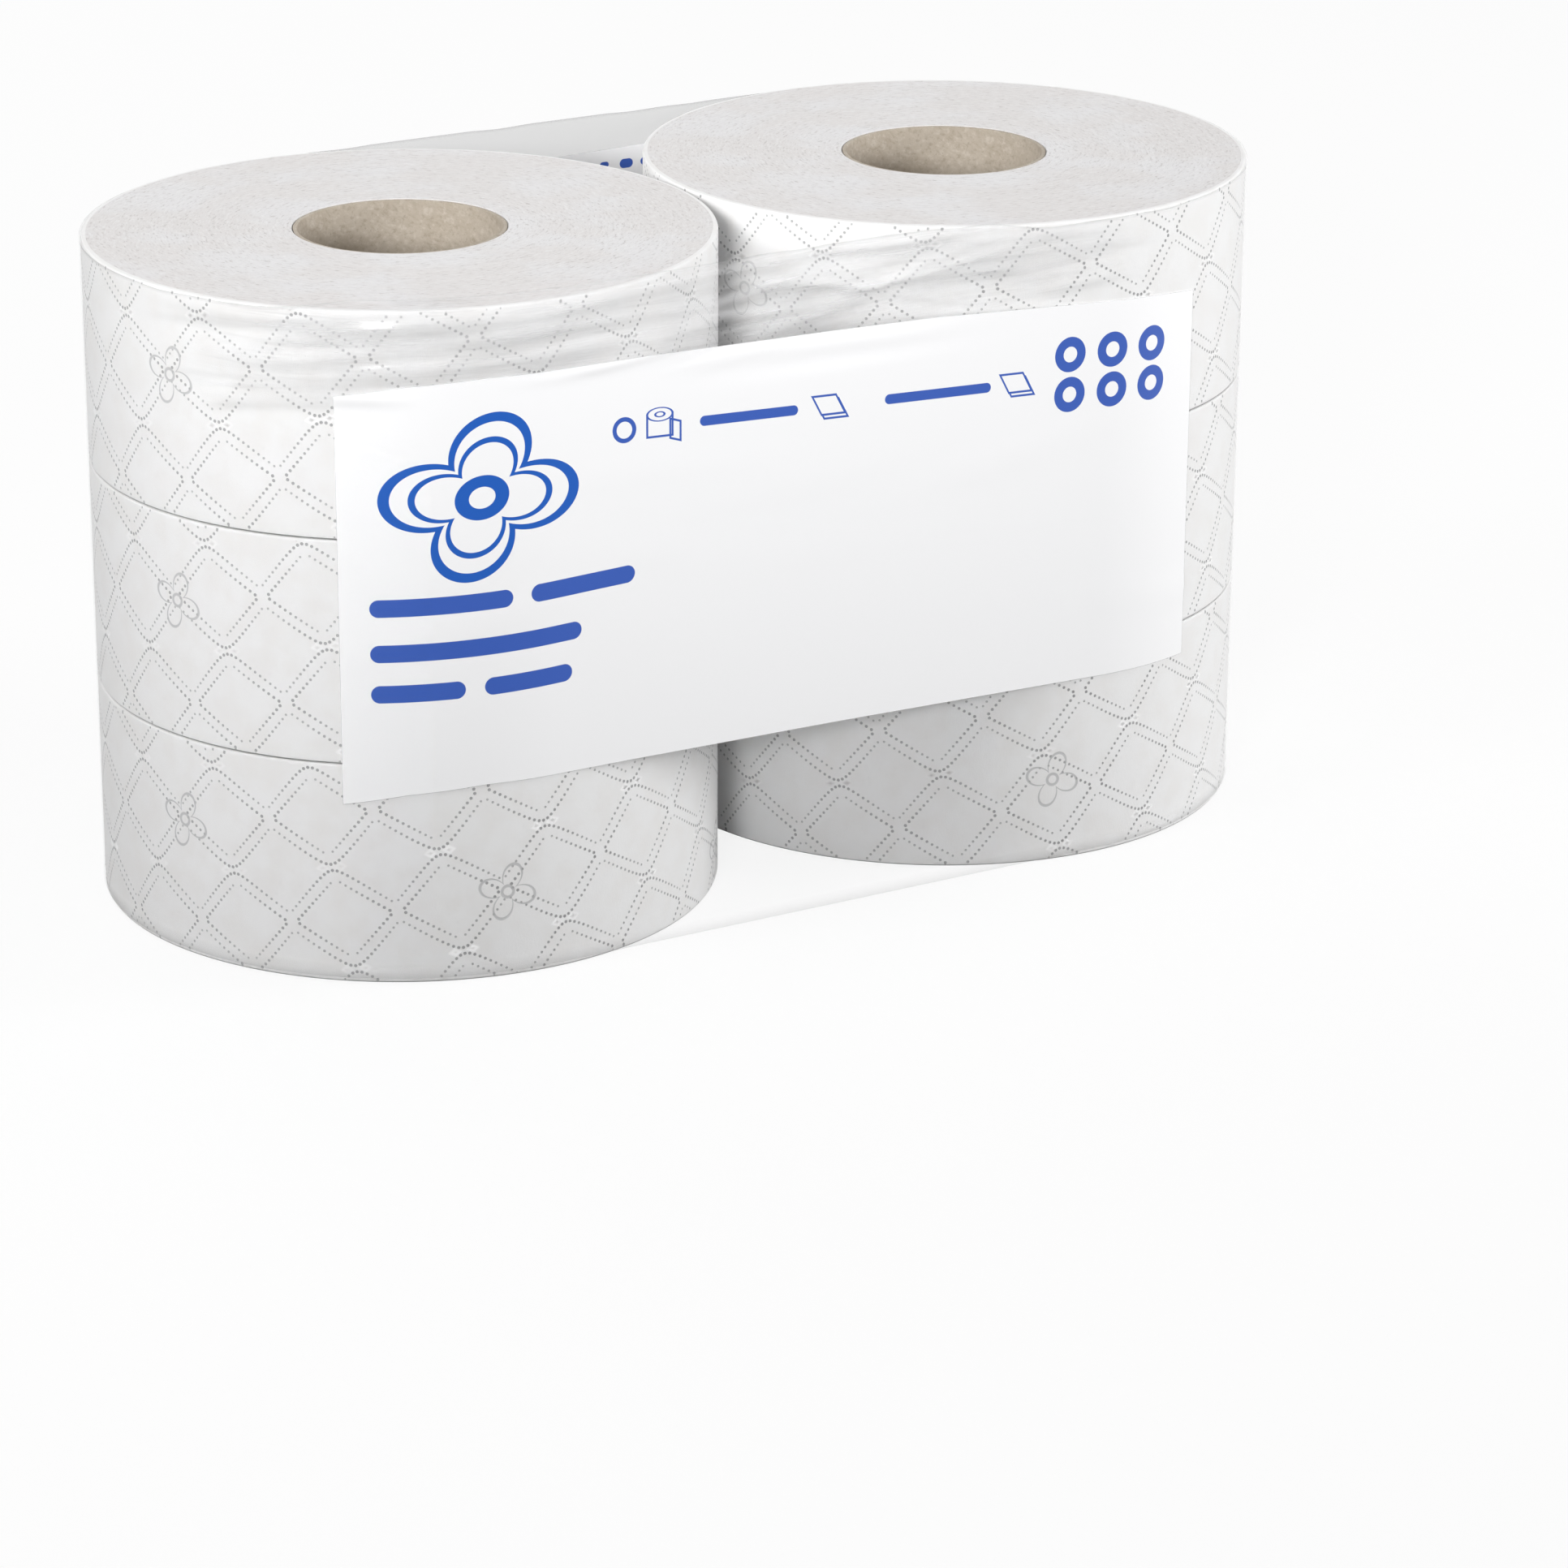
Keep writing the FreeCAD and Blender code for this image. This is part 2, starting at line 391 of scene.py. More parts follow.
def modelRoll():
    wrapped, depths, faces = wrapTiles()
    thing = addMesh("winding", wrapped, faces.tolist())
    addPointValues(thing.data, "emboss", depths)

    mesh = bmesh.new()
    mesh.from_mesh(thing.data)
    bmesh.ops.remove_doubles(mesh, verts=mesh.verts, dist=0.01)
    rims = {"foot": roll["rimRounding"], "head": roll["width"] - roll["rimRounding"]}
    for end, up in (("foot", 1), ("head", -1)):
        everything = mesh.verts[:] + mesh.edges[:] + mesh.faces[:]
        bmesh.ops.bisect_plane(
            mesh, geom=everything, dist=0.0005, plane_co=(0, 0, rims[end]),
            plane_no=(0, 0, up), clear_inner=True,
        )
    loops = {}
    for end, level in rims.items():
        loops[end] = [v for v in mesh.verts if abs(v.co.z - level) < 0.01 and v.is_boundary]

    # the rim rolls over into the end face, which steps in and out with the turns
    wall, bore, steps = roll["wallRadius"], roll["bore"], roll["ringSteps"]
    turns = [2 * math.pi * step / steps - math.pi for step in range(steps)]
    least, spread = roll["layerDepth"]
    wave = roll["layerWave"]
    layers = random.Random(11)
    bores = {}
    for end, face, down in (("foot", 0.0, 1), ("head", roll["width"], -1)):
        previous = sorted(loops[end], key=turnOf)
        for inset, drop in roll["rimSteps"]:
            ring = addRing(mesh, [(wall - inset, turnOf(v), face + down * drop) for v in previous])
            joinRings(mesh, previous, ring)
            previous = ring
        radii = np.linspace(wall - roll["endInset"][0], bore + roll["endInset"][1], roll["endRings"])
        for k, r in enumerate(radii):
            drop = least + spread * layers.random()
            drops = [drop + wave * math.sin(3 * turn + k * 0.4) + wave for turn in turns]
            ring = addRing(mesh, [(r, turn, face + down * dip) for turn, dip in zip(turns, drops)])
            if k == 0:
                zipLoops(mesh, previous, ring)
            else:
                joinRings(mesh, previous, ring)
            previous = ring
        bores[end] = previous
    previous = bores["foot"]
    for z in roll["boreLevels"]:
        ring = addRing(mesh, [(bore, turn, z) for turn in turns])
        joinRings(mesh, previous, ring)
        previous = ring
    joinRings(mesh, previous, bores["head"])
    bmesh.ops.recalc_face_normals(mesh, faces=mesh.faces)
    mesh.to_mesh(thing.data)
    mesh.free()
    thing.data.shade_smooth()
    makeActive(thing)
    even = thing.modifiers.new("even", "WEIGHTED_NORMAL")
    even.weight = 90
    bpy.ops.object.modifier_apply(modifier="even")
    return thing


def addDotShadeStrength(mesh):
    # each face of a dot gets the strength of the dot's painted shade, so that its edge is crisp
    emboss = np.zeros(len(mesh.vertices), dtype=np.float32)
    mesh.attributes["emboss"].data.foreach_get("value", emboss)
    corners = np.zeros(len(mesh.loops), dtype=np.int64)
    starts = np.zeros(len(mesh.polygons), dtype=np.int64)
    mesh.loops.foreach_get("vertex_index", corners)
    mesh.polygons.foreach_get("loop_start", starts)
    layer = mesh.attributes.new("dotTone", "FLOAT", "FACE")
    layer.data.foreach_set("value", np.maximum.reduceat(emboss[corners], starts).astype(np.float32))


def layOutRoll(mesh):
    # own layout for baking: the wall in two strips, the bore in a thin one, then both ends
    places = readPoints(mesh)
    corners = np.zeros(len(mesh.loops), dtype=np.int64)
    mesh.loops.foreach_get("vertex_index", corners)
    counts = np.zeros(len(mesh.polygons), dtype=np.int64)
    mesh.polygons.foreach_get("loop_total", counts)
    polyOf = np.repeat(np.arange(len(counts)), counts)
    centres = np.zeros(len(mesh.polygons) * 3)
    normals = np.zeros(len(mesh.polygons) * 3)
    mesh.polygons.foreach_get("center", centres)
    mesh.polygons.foreach_get("normal", normals)
    centres, normals = centres.reshape(-1, 3)[polyOf], normals.reshape(-1, 3)[polyOf]
    spots = places[corners]
    middle = np.arctan2(centres[:, 1], centres[:, 0])
    turn = np.arctan2(spots[:, 1], spots[:, 0])
    turn = middle + (turn - middle + np.pi) % (2 * np.pi) - np.pi
    share = turn / (2 * np.pi) + 0.5
    reach = np.hypot(centres[:, 0], centres[:, 1])
    width = roll["width"]
    onWall = (reach > roll["wallRadius"] - 0.75)
    onBore = (reach < roll["bore"] + 0.2) & (np.abs(normals[:, 2]) < 0.7)
    strip = (middle > 0).astype(float)
    risen = spots[:, 2] / width
    wallFoot, wallHigh, stripStep = rollLayout["wall"]
    boreFoot, boreHigh = rollLayout["bore"]
    u = np.where(onWall, share * 2 - strip, share)
    v = np.where(onWall, wallFoot + risen * wallHigh + strip * stripStep, 0.0)
    v = np.where(onBore & ~onWall, boreFoot + risen * boreHigh, v)
    upper = centres[:, 2] > width / 2
    scale = rollLayout["endHalf"] / (roll["wallRadius"] + 0.5)
    onEnd = ~onWall & ~onBore
    u = np.where(onEnd, np.where(upper, 0.75, 0.25) + spots[:, 0] * scale, u)
    v = np.where(onEnd, 0.75 + spots[:, 1] * scale, v)
    margin = rollLayout["margin"]
    layer = mesh.uv_layers.new(name="OFBake")
    flat = np.stack([np.clip(u, margin, 1 - margin), v], -1).astype(np.float32)
    layer.data.foreach_set("uv", flat.ravel())


def placeRoll(model, stackName, level, levelName):
    side = -1 if stackName == "left" else 1
    wall = roll["wallRadius"]
    name = f"tissue_{stackName}_{levelName}"
    mesh = model.data.copy()
    mesh.name = name
    thing = bpy.data.objects.new(name, mesh)
    bpy.context.scene.collection.objects.link(thing)
    if stackName == "right":
        mesh.transform(Matrix.Rotation(math.radians(roll["rightTurn"]), 4, "Z"))

    # the last turn rises towards its glued tail and drops by its step there
    tail = math.radians(roll["tails"][stackName][level])
    cutter = bmesh.new()
    cutter.from_mesh(mesh)
    for turn in (tail - roll["tailCut"], tail + roll["tailCut"]):
        near = []
        for face in cutter.faces:
            spot = face.calc_center_median()
            away = math.remainder(math.atan2(spot.y, spot.x) - turn, 2 * math.pi)
            if spot.xy.length > wall - 0.8 and abs(away) < 0.06:
                near.append(face)
        edges = {e for f in near for e in f.edges}
        vertices = {v for f in near for v in f.verts}
        bmesh.ops.bisect_plane(
            cutter, geom=list(vertices) + list(edges) + near, dist=0.0005, plane_co=(0, 0, 0),
            plane_no=(-math.sin(turn), math.cos(turn), 0),
        )
    cutter.to_mesh(mesh)
    cutter.free()
    places = readPoints(mesh)
    reach = np.hypot(places[:, 0], places[:, 1])
    turns = np.arctan2(places[:, 1], places[:, 0])
    back = np.degrees((tail - turns + np.pi) % (2 * np.pi) - np.pi)
    rise = np.where(back > -0.03, smoothShare(roll["tailSweep"], 0, back), 0) * (roll["tailStep"] - 0.05)
    outer = reach > wall - 1.0
    factor = np.where(outer, (reach + rise) / reach, 1.0)
    local = places.copy()
    places[:, :2] *= factor[:, None]
    faceShare = np.where(reach < wall - 1.3, 1.0, 0.0)
    addPointVectors(mesh, "rollPlace", local * mm)
    addPointValues(mesh, "endFace", faceShare)
    addPointValues(mesh, "tailLine", np.exp(-(back / 0.25) ** 2) * outer)
    layOutRoll(mesh)
    addDotShadeStrength(mesh)
    places[:, 0] += side * roll["stackSpacing"] / 2
    places[:, 2] += level * roll["width"]
    writePoints(mesh, places * mm)
    return thing


# paper of the rolls
tissue = {
    "paper": toLinear(243, 243, 243),
    "paperWarm": toLinear(240, 239, 238),
    "paperFibre": toLinear(214, 214, 214),
    # painted shade in the dots and a painted shadow line at each roll's foot
    "paintedDotShade": toLinear(166, 166, 167),
    "paintedFootShadow": toLinear(100, 99, 98),
    "tailShade": toLinear(205, 204, 203),
    # end paper: the same tissue as the wall, darkened as painted shade for the tops
    "shadedEndPaper": toLinear(224, 221, 220),
    "shadedEndPaperCool": toLinear(228, 227, 228),
    "endFibre": toLinear(238, 237, 237),
    "endSpeck": toLinear(184, 179, 177),
    "endFleck": toLinear(194, 191, 189),
    "endBand": toLinear(210, 207, 206),
    # painted shade in the lines of the pressed flowers
    "paintedMotifShade": toLinear(196, 196, 197),
    "motifStart": (-146.0, 52.6),       # one small flower, round the wall and up it
    "motifs": 4,
    "petal": (7.2, 3.6),
    "heart": 2.2,
}


def tissueFinish():
    finish = newFinish("tissuePaper")
    place = finish.place("rollPlace")
    emboss = finish.value("dotTone")
    onEnd = finish.ramp(finish.value("endFace"), 0.4, 0.6)
    tailLine = finish.value("tailLine")
    x, y, z = finish.split(place)
    reach = (x * x + y * y) ** 0.5

    # wall: soft fibre cloud, fine crepe, the dots darkened with painted shade, a painted shadow line at the
    # foot and a grey line along the tail
    cloud = finish.noise(place, 90.0, 3.0, 0.55)
    fibre = finish.noise(place, 900.0, 4.0, 0.65, 0.6)
    crepe = finish.noise(finish.vector(x * 2600.0, y * 2600.0, z * 500.0), 1.0, 2.0, 0.5)
    wallShade = finish.mixColour(finish.ramp(cloud, 0.35, 0.7), tissue["paper"], tissue["paperWarm"])
    wallShade = finish.mixColour(finish.ramp(fibre, 0.52, 0.8) * 0.22, wallShade, tissue["paperFibre"])
    # painted shade: the faces of each dot are darkened where the dimple holds shade
    wallShade = finish.mixColour(emboss * 0.9, wallShade, tissue["paintedDotShade"])
    # painted shadow: a thin dark line at the foot of each roll's wall, where it meets the roll below
    wallShade = finish.mixColour(finish.ramp(z, 0.0009, 0.0002) * 0.9, wallShade, tissue["paintedFootShadow"])
    wallShade = finish.mixColour(tailLine * 0.5, wallShade, tissue["tailShade"])

    # small four-petal flowers pressed between the cells, their lines darkened with painted shade
    around = finish.calc("ARCTAN2", x, 0 - y) * roll["wallRadius"]
    motif = motifLines(finish, around, z * 1000)
    wallShade = finish.mixColour(motif * 0.85, wallShade, tissue["paintedMotifShade"])

    # end face: cut edges of the turns, short streaks that follow them; its base colour is darker than the
    # wall paper, painted shade for tops that get less light from above
    streak = finish.noise(finish.vector(x * 300.0, y * 300.0, reach * 1100.0), 1.0, 3.0, 0.65)
    fine = finish.noise(finish.vector(x * 700.0, y * 700.0, reach * 2800.0), 1.0, 2.0, 0.5)
    bands = finish.noise(finish.vector(0.0, 0.0, reach * 380.0), 1.0, 3.0, 0.6)
    mottle = finish.noise(place, 26.0, 3.0, 0.5)
    cool = finish.ramp(mottle, 0.4, 0.65)
    endShade = finish.mixColour(cool, tissue["shadedEndPaper"], tissue["shadedEndPaperCool"])
    endShade = finish.mixColour(finish.ramp(streak, 0.55, 0.70) * 0.7, endShade, tissue["endSpeck"])
    endShade = finish.mixColour(finish.ramp(streak, 0.46, 0.34) * 0.6, endShade, tissue["endFibre"])
    endShade = finish.mixColour(finish.ramp(fine, 0.60, 0.8) * 0.5, endShade, tissue["endFleck"])
    endShade = finish.mixColour(finish.ramp(bands, 0.5, 0.75) * 0.18, endShade, tissue["endBand"])

    shade = finish.mixColour(onEnd, wallShade, endShade)
    wallRelief = fibre * 0.5 + crepe * 0.35 - motif * 1.2
    endRelief = streak * 0.8 + fine * 0.7
    relief = wallRelief + (endRelief - wallRelief) * onEnd
    bump = finish.relief(relief, 0.35, 0.0003)
    inputs = {"Base Color": shade, "Roughness": 0.92, "Specular IOR Level": 0.2, "Normal": bump}
    inputs.update({"Sheen Weight": 0.15, "Sheen Roughness": 0.5})
    return finish.close(finish.node("BsdfPrincipled", None, inputs))


def motifLines(finish, around, risen):
    # small flowers in a slanting row round the wall
    stepAcross, stepUp = roll["rowsDropped"] * across - high
    flowers = []
    for k in range(-1, tissue["motifs"] - 1):
        u0 = tissue["motifStart"][0] + k * stepAcross
        v0 = tissue["motifStart"][1] + k * stepUp
        u0 = (u0 + wallRound / 2) % wallRound - wallRound / 2
        flowers.append(petalOutline(finish, around - u0, risen - v0))
    return finish.larger(*flowers)


def petalOutline(finish, dx, dy):
    # outline of a four-petal flower with a ring at its heart, in mm
    reach = (dx * dx + dy * dy) ** 0.5
    turn = finish.calc("ARCTAN2", dy, dx)
    petal = abs(finish.calc("COSINE", turn * 2.0 + 0.6)) * tissue["petal"][0] + tissue["petal"][1]
    nearest = finish.smaller(abs(reach - petal), abs(reach - tissue["heart"]))
    return finish.ramp(nearest, 0.75, 0.35)


# core: a spiral-wound board tube
core = {
    "inner": 38.05,
    "outer": 39.5,
    "foot": 0.5,
    "head": 84.0,
    "columns": 108,
    "rows": 26,
    "seamTurns": 0.62,          # how far round the inner ply's seam climbs
    "seamEdges": (-1.3, -0.45, 0.0, 0.45, 1.3),
    "seamReach": 0.6,
    "seamDip": 0.22,
    "rimLift": 0.12,
    "turns": {"left": (40, 150, 64), "right": (110, 300, 46)},
}


def extrudeRows(climb, twist):
    for row in range(core["rows"]):
        bpy.ops.mesh.extrude_region_move(TRANSFORM_OT_translate={"value": (0, 0, climb)})
        bpy.ops.transform.rotate(value=twist, orient_axis="Z", center_override=(0, 0, 0))


def modelCore(name, side, level, startTurn):
    turns = [math.radians(360 * k / core["columns"]) for k in range(2, core["columns"] - 1)]
    turns = sorted([value / core["inner"] for value in core["seamEdges"]] + turns)
    deselectAll()
    bpy.ops.mesh.primitive_circle_add(vertices=len(turns), fill_type="NOTHING")
    thing = bpy.context.object
    thing.name = name
    thing.data.name = name
    for vertex, turn in zip(thing.data.vertices, turns):
        onSeam = abs(turn * core["inner"]) < core["seamReach"]
        radius = (core["inner"] + (core["seamDip"] if onSeam else 0.0)) * mm
        vertex.co = (radius * math.cos(turn), radius * math.sin(turn), core["foot"] * mm)
    centre = (0, 0, 0)
    bpy.ops.object.mode_set(mode="EDIT")
    bpy.ops.mesh.select_all(action="SELECT")
    # up the inside, turning with the seam
    climb = (core["head"] - core["foot"]) / core["rows"] * mm
    twist = 2 * math.pi * core["seamTurns"] / core["rows"]
    extrudeRows(climb, -twist)
    # over the head in a slight round, then down the outside
    grow = core["outer"] / core["inner"] - 1
    quarter = 1 + grow * 0.25
    middle = 1 + grow * 0.5 / quarter
    for scale, lift in ((quarter, core["rimLift"]), (middle, 0.0), (quarter, -core["rimLift"])):
        bpy.ops.mesh.extrude_region_move(TRANSFORM_OT_translate={"value": (0, 0, lift * mm)})
        bpy.ops.transform.resize(value=(scale, scale, 1), center_override=centre)
    extrudeRows(-climb, twist)
    # the foot's rim closes the tube
    bpy.ops.mesh.select_all(action="DESELECT")
    bpy.ops.mesh.select_mode(type="EDGE")
    bpy.ops.mesh.select_non_manifold(
        extend=False, use_wire=False, use_boundary=True,
        use_multi_face=False, use_non_contiguous=False, use_verts=False,
    )
    bpy.ops.mesh.bridge_edge_loops()
    bpy.ops.mesh.select_mode(type="VERT")
    bpy.ops.mesh.select_all(action="SELECT")
    bpy.ops.mesh.normals_make_consistent(inside=False)
    bpy.ops.object.mode_set(mode="OBJECT")
    mesh = thing.data
    addPointVectors(mesh, "corePlace", readPoints(mesh))
    mesh.transform(Matrix.Rotation(math.radians(startTurn), 4, "Z"))
    shift = (side * roll["stackSpacing"] / 2 * mm, 0, level * roll["width"] * mm)
    mesh.transform(Matrix.Translation(shift))
    mesh.update()
    thing.location = (0, 0, 0)
    makeActive(thing)
    bpy.ops.object.shade_smooth_by_angle(angle=math.radians(40))
    return thing


# shades of the grey-brown board
board = {
    "face": toLinear(188, 178, 164),
    "faceDull": toLinear(180, 169, 154),
    "fibreDark": toLinear(156, 144, 129),
    "fibreLight": toLinear(206, 198, 187),
    "fleck": toLinear(138, 127, 113),
    "seam": toLinear(118, 105, 90),
}


def boardFinish():
    finish = newFinish("coreBoard")
    place = finish.place("corePlace")
    x, y, z = finish.split(place)
    reach = (x * x + y * y) ** 0.5
    around = finish.calc("ARCTAN2", y, x)
    height = core["head"] - core["foot"]
    climb = 2 * math.pi * core["seamTurns"] / height * 1000
    # distance from the climbing seam, round the wall
    turn = around - (z - core["foot"] * mm) * climb
    wrapped = finish.calc("WRAP", turn, math.pi, -math.pi)
    away = abs(wrapped) * core["inner"]
    seamLine = finish.ramp(away, 0.7, 0.2)
    nearSeam = finish.ramp(away, 5.0, 0.0)
    plyPlace = finish.vector(wrapped * 16.0, z * 700.0 + wrapped * 8.0, reach * 300.0)
    long = finish.noise(plyPlace, 1.0, 4.0, 0.65)
    fleck = finish.noise(place, 1300.0, 3.0, 0.6, 0.8)
    cloud = finish.noise(place, 110.0, 3.0, 0.6)
    mottle = finish.noise(place, 430.0, 3.0, 0.6)
    shade = finish.mixColour(finish.ramp(cloud, 0.3, 0.7), board["face"], board["faceDull"])
    shade = finish.mixColour(finish.ramp(mottle, 0.52, 0.68) * 0.5, shade, board["fibreLight"])
    shade = finish.mixColour(finish.ramp(mottle, 0.46, 0.32) * 0.45, shade, board["fibreDark"])
    shade = finish.mixColour(finish.ramp(long, 0.52, 0.75) * 0.45, shade, board["fibreDark"])
    shade = finish.mixColour(finish.ramp(long, 0.48, 0.25) * 0.4, shade, board["fibreLight"])
    shade = finish.mixColour(finish.ramp(fleck, 0.62, 0.74) * 0.7, shade, board["fleck"])
    shade = finish.mixColour(nearSeam * 0.12, shade, board["seam"])
    shade = finish.mixColour(seamLine * 0.7, shade, board["seam"])
    relief = long * 0.7 + fleck * 0.5 - seamLine * 0.8
    bump = finish.relief(relief, 0.4, 0.0003)
    inputs = {"Base Color": shade, "Roughness": 0.82, "Specular IOR Level": 0.3, "Normal": bump}
    return finish.close(finish.node("BsdfPrincipled", None, inputs))


# film sleeve with its hem, its gathers over the valley and its creases
film = {
    "radius": 117.70,           # outside of the sleeve
    "thickness": 0.22,
    "foot": 2.0,
    "edge": 252.8,
    "hemRise": 5.0,
    "hemLeft": (95, 62),        # where its rise begins and ends, outside the left axis
    "hemRight": (60, 24),       # the same, inside the right axis
    "gatherHalfWidth": 78,
    "gatherFoot": 208.8,
    "gatherDepth": 2.6,
    "gatherLean": 3.0,
    "gatherPleats": 4,
    "fineSpan": (-330, 235),    # part of the way round that has close columns
    "fineStep": 2.4,
    "coarseColumns": 118,
    "closeRowsFrom": 0.80,
    "rowsBelow": 40,
    "rowsAbove": 50,
    "layoutHigh": 265,
    # creases: from and to (round the film, up it), bow, width, height in mm, strength of the painted
    # highlight on the ridge and the painted shade below it
    "creases": [
        (-245, 217, -170, 221, 2, 2.4, 0.8, 0.5), (-235, 225, -180, 224, 1, 2.6, 0.6, 0.4),
        (-225, 243, -120, 246, 2, 2.6, 0.7, 0.4), (-215, 235, -90, 243, 3, 2.2, 0.6, 0.5),
        (-205, 229, -80, 236, 2, 2.8, 0.7, 0.5), (-190, 247, -70, 250, 1, 2.0, 0.5, 0.4),
        (-150, 239, -40, 244, 2, 2.6, 0.7, 0.6), (-130, 231, -45, 238, -2, 2.2, 0.6, 0.5),
        (-120, 249, -50, 254, 0, 1.8, 0.5, 0.5), (-110, 226, -50, 231, -1, 1.8, 0.5, 0.4),
        (14, 240, 70, 246, 1, 1.8, 1.2, 0.7), (14, 240, 84, 238, 2, 1.7, 1.1, 0.5),
        (14, 240, 66, 251, 2, 1.6, 1.0, 0.7), (14, 240, 60, 229, -1, 1.6, 1.0, 0.5),
        (14, 240, -42, 246, 1, 2.0, 1.2, 0.7), (14, 240, -48, 251, 1, 1.8, 1.1, 0.6),
        (14, 240, -46, 237, -1, 2.0, 1.2, 0.8), (14, 240, -40, 229, -2, 2.2, 0.9, 0.8),
        (50, 247, 125, 249, 1, 1.7, 0.6, 0.5), (60, 240, 140, 243, 2, 1.6, 0.5, 0.4),
        (50, 252, 105, 251, 0, 1.4, 0.6, 0.5), (-50, 255, 60, 256, -1, 1.5, 0.8, 0.8),
    ],
    "streaks": 120,
    "faintCreases": 34,
    # grey of the painted shade on the creases, also the haze of the span behind
    "shadeAndHazeGrey": toLinear(176, 176, 176),
    "hemGrey": toLinear(170, 170, 170),
}
film["perimeter"] = 2 * roll["stackSpacing"] + 2 * math.pi * film["radius"]


def filmPlace(s, offset):
    # from the distance round the sleeve, 0 at the front middle, to x and y
    half = roll["stackSpacing"] / 2
    arc = math.pi * film["radius"]
    size = np.abs(s)
    hand = np.where(s < 0, -1.0, 1.0)
    turn = np.clip((size - half) / film["radius"], 0, math.pi)
    reach = film["radius"] + offset
    x = np.where(size < half, size, half + reach * np.sin(turn))
    y = -reach * np.cos(turn)
    past = np.clip(size - half - arc, 0, None)
    x = np.where(past > 0, half - past, x)
    return hand * x, y


def hemLine(x, front):
    half = roll["stackSpacing"] / 2
    rising = smoothShare(-half - film["hemLeft"][0], -half - film["hemLeft"][1], x)
    falling = smoothShare(half - film["hemRight"][0], half - film["hemRight"][1], x)
    return film["edge"] + np.where(front, film["hemRise"] * rising * (1 - falling), 0)


def creaseFields(s, z):
    # how far the film stands up in its creases, with painted highlights on their ridges and painted shade
    # below them
    rise, milk, grey = np.zeros_like(s), np.zeros_like(s), np.zeros_like(s)
    for s0, z0, s1, z1, bow, width, height, paintedLightStrength in film["creases"]:
        share = (s - s0) / (s1 - s0)
        inside = np.clip(share, 0, 1)
        line = z0 + (z1 - z0) * inside + bow * np.sin(np.pi * inside)
        fade = smoothShare(-0.10, 0.15, share) * (1 - smoothShare(0.7, 1.1, share))
        ridge = fade * np.exp(-((z - line) / width) ** 2)
        rise += height * ridge
        milk += paintedLightStrength * ridge
        grey += paintedLightStrength * fade * np.exp(-((z - line + width * 1.25) / (width * 0.7)) ** 2)
    chance = random.Random(5)
    # streaks of painted highlight, standing up a little, and streaks of painted shade
    for k in range(film["streaks"]):
        s0 = chance.uniform(-235, 105)
        z0 = chance.uniform(222, 256)
        long = chance.uniform(14, 42)
        lean = chance.uniform(0.0, 0.09) + (0.10 if -48 < s0 < 14 else 0.0)
        width = chance.uniform(0.9, 2.2)
        streak = np.exp(-((s - s0) / long) ** 4 - ((z - z0 - lean * (s - s0)) / width) ** 2)
        if chance.random() < 0.5:
            grey += chance.uniform(0.2, 0.7) * streak
        else:
            milk += chance.uniform(0.2, 0.7) * streak
            rise += chance.uniform(0.05, 0.25) * streak
    for k in range(film["faintCreases"]):
        s0 = chance.uniform(-600, 600)
        z0 = chance.uniform(10, 245)
        long = chance.uniform(25, 70)
        lean = chance.uniform(-0.25, 0.25)
        height = chance.uniform(0.1, 0.3)
        rise += height * np.exp(-((s - s0) / long) ** 2 - ((z - z0 - lean * (s - s0)) / 3.0) ** 2)
    return rise, milk, grey


